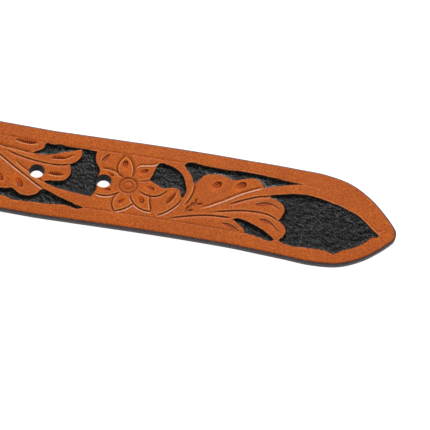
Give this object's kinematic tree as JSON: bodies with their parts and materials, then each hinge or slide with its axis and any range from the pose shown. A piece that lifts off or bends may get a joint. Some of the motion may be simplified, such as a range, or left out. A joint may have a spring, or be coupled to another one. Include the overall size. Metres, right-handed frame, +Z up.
{
  "type": "western tooled belt",
  "caption": "Leather waist belt with floral tooling on a black sunk background, a pointed tip, punched holes, a keeper loop and a plain metal buckle.",
  "frame": {"origin": "middle of the belt's whole length and width, on the surface that it lies on", "axes": "+X along the belt towards the tip, +Y across it, +Z up out of its tooled face"},
  "size_m": [1.1169, 0.052, 0.0134],
  "materials": {
    "strap_leather": "russet brown tooled leather, background and edges dyed black, satin",
    "keeper_leather": "russet brown smooth leather, satin",
    "buckle_metal": "plain brushed steel with soft edges"
  },
  "bodies": {
    "root": {"strap": "strap_leather", "keeper": "keeper_leather", "buckle": "buckle_metal"}
  },
  "joints": []
}
